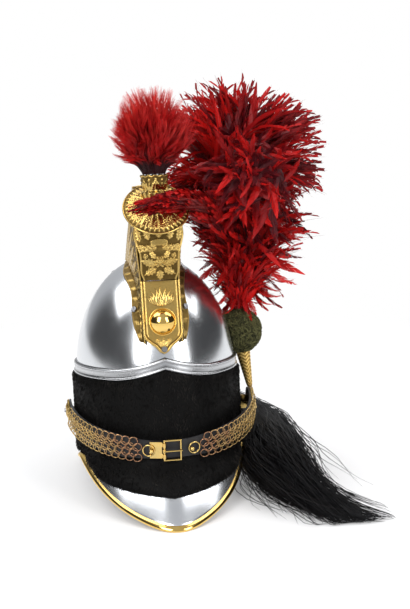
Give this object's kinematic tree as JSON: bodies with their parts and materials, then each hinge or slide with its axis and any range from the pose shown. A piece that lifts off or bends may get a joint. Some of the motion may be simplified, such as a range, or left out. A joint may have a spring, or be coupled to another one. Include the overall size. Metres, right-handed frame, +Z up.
{
  "type": "cuirassier helmet",
  "caption": "Heavy cavalry helmet with polished steel skull, brass crest, red brush tuft, red feather side plume, black horsehair mane, fur turban and a chained chin strap that swings",
  "frame": {"origin": "middle of the head opening, at the foot of the skull's wall", "axes": "-Y to the front, +X to the wearer's left, +Z up, as the helmet stands on its visor and neck guard, leaning back 6.5 degrees"},
  "size_m": [0.3297, 0.3896, 0.456],
  "materials": {
    "steel": "polished steel with fine scratches",
    "screw_steel": "turned steel",
    "brass": "stamped brass, brown in its hollows",
    "dark_brass": "aged brass",
    "copper_brass": "copper-brown brass wire",
    "black_fur": "short black fur",
    "black_leather": "smooth charcoal leather",
    "liner_leather": "brown lining leather",
    "cord": "twisted cord",
    "gold_cord": "gold wire cord in a herringbone winding",
    "green_wool": "looped dark olive wool",
    "red_bristle": "stiff red bristles",
    "red_feather": "dark red cock feathers",
    "black_horsehair": "black horsehair"
  },
  "bodies": {
    "helmet": {"skull_shell": "steel", "rim_band": "steel", "turban": "black_fur", "visor_plate": "steel", "visor_trim": "brass", "visor_rivets": "steel", "neck_guard_plate": "steel", "neck_guard_trim": "brass", "neck_guard_rivets": "steel", "liner_headband": "liner_leather", "liner_lobes": "liner_leather", "liner_cord": "cord", "crest_side_right": "dark_brass", "crest_side_left": "dark_brass", "crest_top_strip": "brass", "crest_front_plate": "brass", "crest_flames": "brass", "crest_ball_boss": "brass", "crest_console": "dark_brass", "crest_disc": "brass", "crest_screws": "screw_steel", "crest_nuts": "screw_steel", "tuft_socket": "brass", "mane_clamp": "brass", "mane_fall": "black_horsehair", "mane_sweep": "black_horsehair", "plume_socket": "brass", "rosette_right": "brass", "rosette_left": "brass", "rosette_screws": "dark_brass", "rosette_nuts": "screw_steel"},
    "strap": {"strap_leather_right": "black_leather", "strap_leather_left": "black_leather", "chain_mesh_right": "copper_brass", "chain_mesh_left": "copper_brass", "chain_end_links": "brass", "strap_studs": "brass", "buckle_chape": "brass"},
    "buckle": {"buckle_frame": "brass"},
    "prong": {"buckle_prong": "brass"},
    "plume": {"plume_stem": "gold_cord", "plume_wool_ball": "green_wool", "plume_feathers": "red_feather"},
    "tuft": {"tuft_spindle": "dark_brass", "tuft_bristles": "red_bristle"}
  },
  "joints": [
    {"name": "chin_strap_swing", "type": "hinge", "parent": "helmet", "child": "strap", "pos_m": [0, 0.00785, 0.04238], "axis": [-1, 0, 0], "range_deg": [0, 24]},
    {"name": "buckle_frame_turn", "type": "hinge", "parent": "strap", "child": "buckle", "pos_m": [-0.00698, -0.12644, 0.02945], "axis": [0, 0.0958, -0.9954], "range_deg": [0, 60]},
    {"name": "buckle_prong_turn", "type": "hinge", "parent": "buckle", "child": "prong", "pos_m": [-0.00698, -0.12644, 0.02945], "axis": [0, 0.0958, -0.9954], "range_deg": [0, 65]},
    {"name": "plume_lift", "type": "slide", "parent": "helmet", "child": "plume", "axis": [-0.139, 0.164, 0.9766], "range_m": [0, 0.04]},
    {"name": "tuft_lift", "type": "slide", "parent": "helmet", "child": "tuft", "axis": [0, 0.1132, 0.9936], "range_m": [0, 0.03]}
  ]
}
